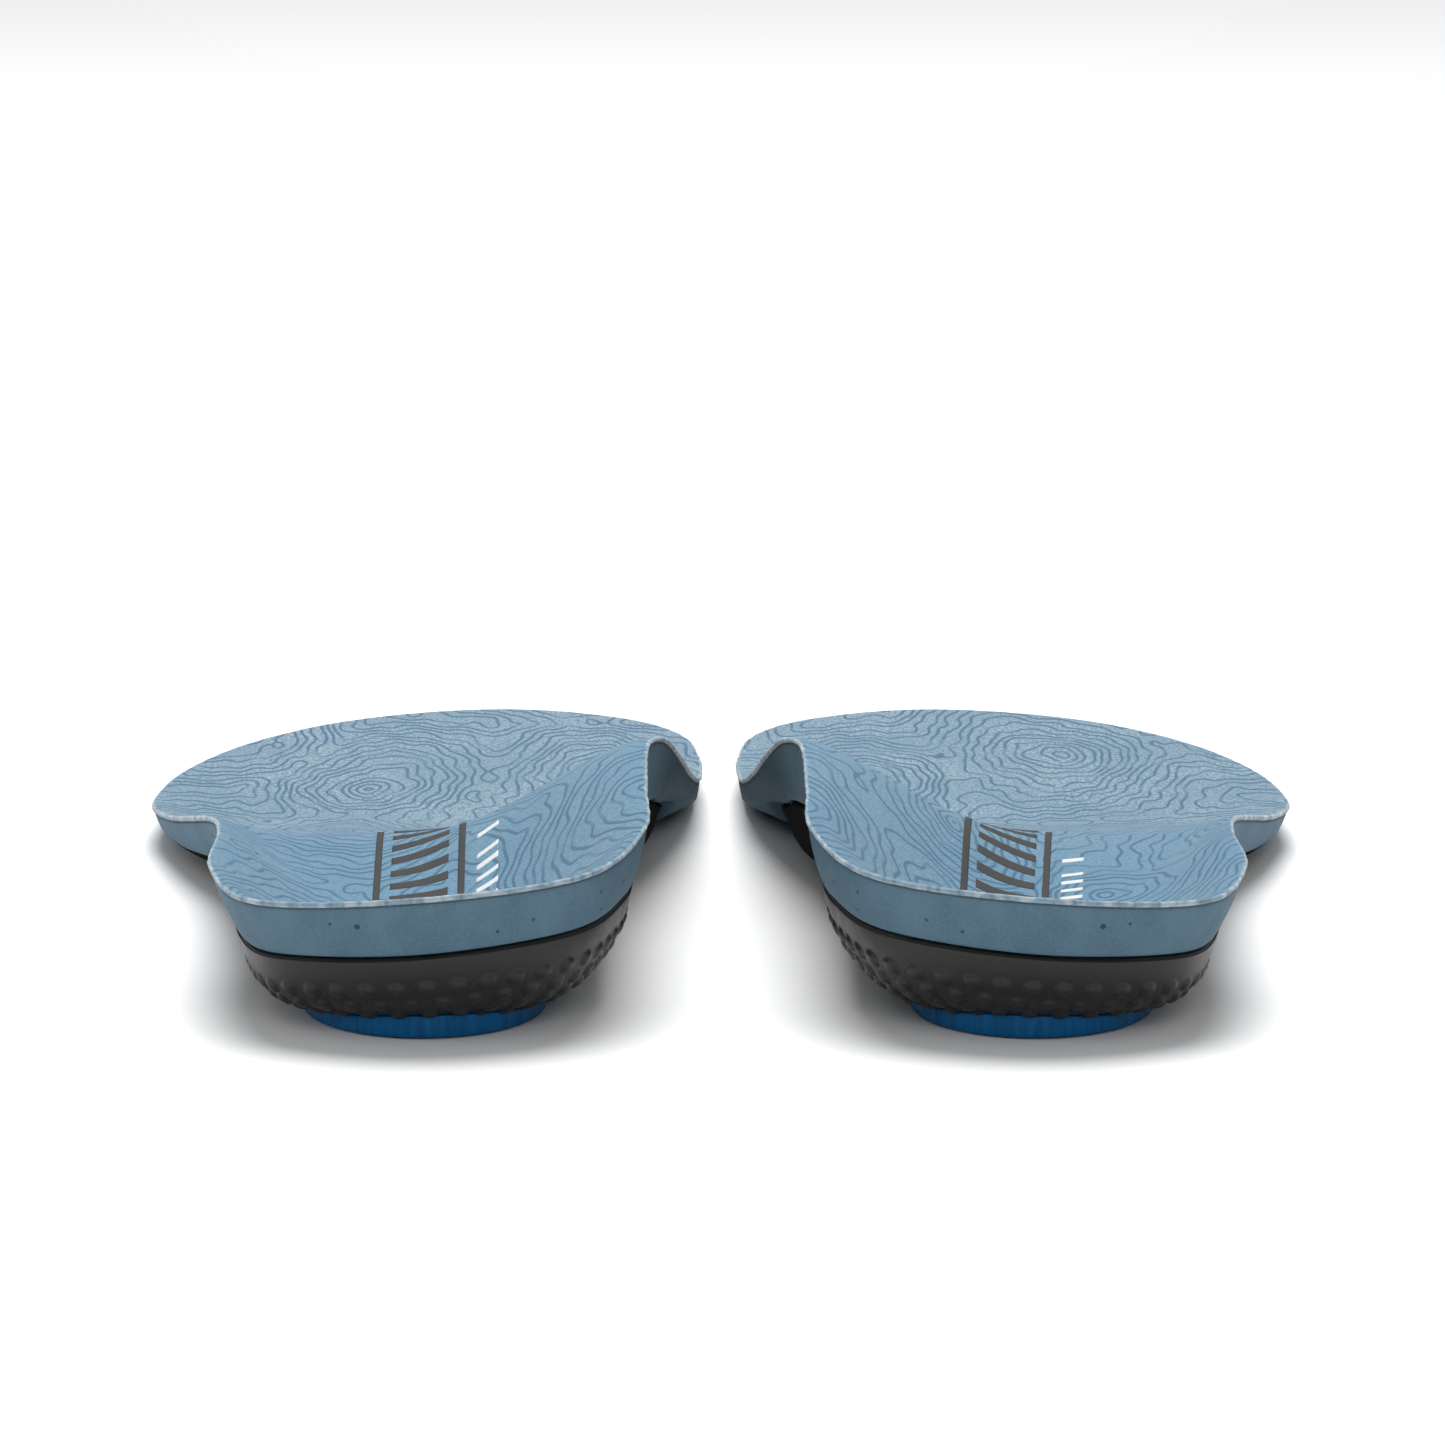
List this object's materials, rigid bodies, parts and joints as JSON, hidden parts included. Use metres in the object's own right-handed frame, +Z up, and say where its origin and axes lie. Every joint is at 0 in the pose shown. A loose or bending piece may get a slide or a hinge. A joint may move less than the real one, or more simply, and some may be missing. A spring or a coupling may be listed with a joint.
{
  "type": "shoe insole pair",
  "caption": "Pair of contoured shoe insoles: knit fabric over a moulded foam bed, hard support shell under heel and arch, soft heel pad, and a toe half that flexes.",
  "frame": {"origin": "on the ground, at the centre of the pair's bounding box in X and Y", "axes": "+Y from heels to toes, +X from the left insole to the right one, +Z up"},
  "size_m": [0.2055, 0.2712, 0.033],
  "materials": {
    "knit_fabric": "heathered pale blue knit, matt",
    "adhesive_film": "dark bonding film, seen only as a line",
    "moulded_foam": "slate blue moulded foam, matt, with a few dark specks",
    "shell_plastic": "near-black plastic, satin, with rows of small domes",
    "gel_pad": "bright blue soft pad, satin"
  },
  "bodies": {
    "left_rearfoot": {"left_top_fabric_rear": "knit_fabric", "left_bond_film_rear": "adhesive_film", "left_foam_bed_rear": "moulded_foam", "left_support_shell": "shell_plastic", "left_heel_pad": "gel_pad"},
    "left_forefoot": {"left_top_fabric_fore": "knit_fabric", "left_bond_film_fore": "adhesive_film", "left_foam_bed_fore": "moulded_foam"},
    "right_rearfoot": {"right_top_fabric_rear": "knit_fabric", "right_bond_film_rear": "adhesive_film", "right_foam_bed_rear": "moulded_foam", "right_support_shell": "shell_plastic", "right_heel_pad": "gel_pad"},
    "right_forefoot": {"right_top_fabric_fore": "knit_fabric", "right_bond_film_fore": "adhesive_film", "right_foam_bed_fore": "moulded_foam"}
  },
  "joints": [
    {"name": "left_toe_flex", "type": "hinge", "parent": "left_rearfoot", "child": "left_forefoot", "pos_m": [-0.05314, 0.04306, 0.0125], "axis": [0.9998, 0.0209, 0], "range_deg": [0, 45], "stiffness_Nm_per_rad": 0.15},
    {"name": "right_insole_spread", "type": "slide", "parent": "left_rearfoot", "child": "right_rearfoot", "axis": [1, 0, 0], "range_m": [-0.004, 0.12]},
    {"name": "right_toe_flex", "type": "hinge", "parent": "right_rearfoot", "child": "right_forefoot", "pos_m": [0.05307, 0.0431, 0.0125], "axis": [1, -0.0026, 0], "range_deg": [0, 45], "stiffness_Nm_per_rad": 0.15}
  ]
}
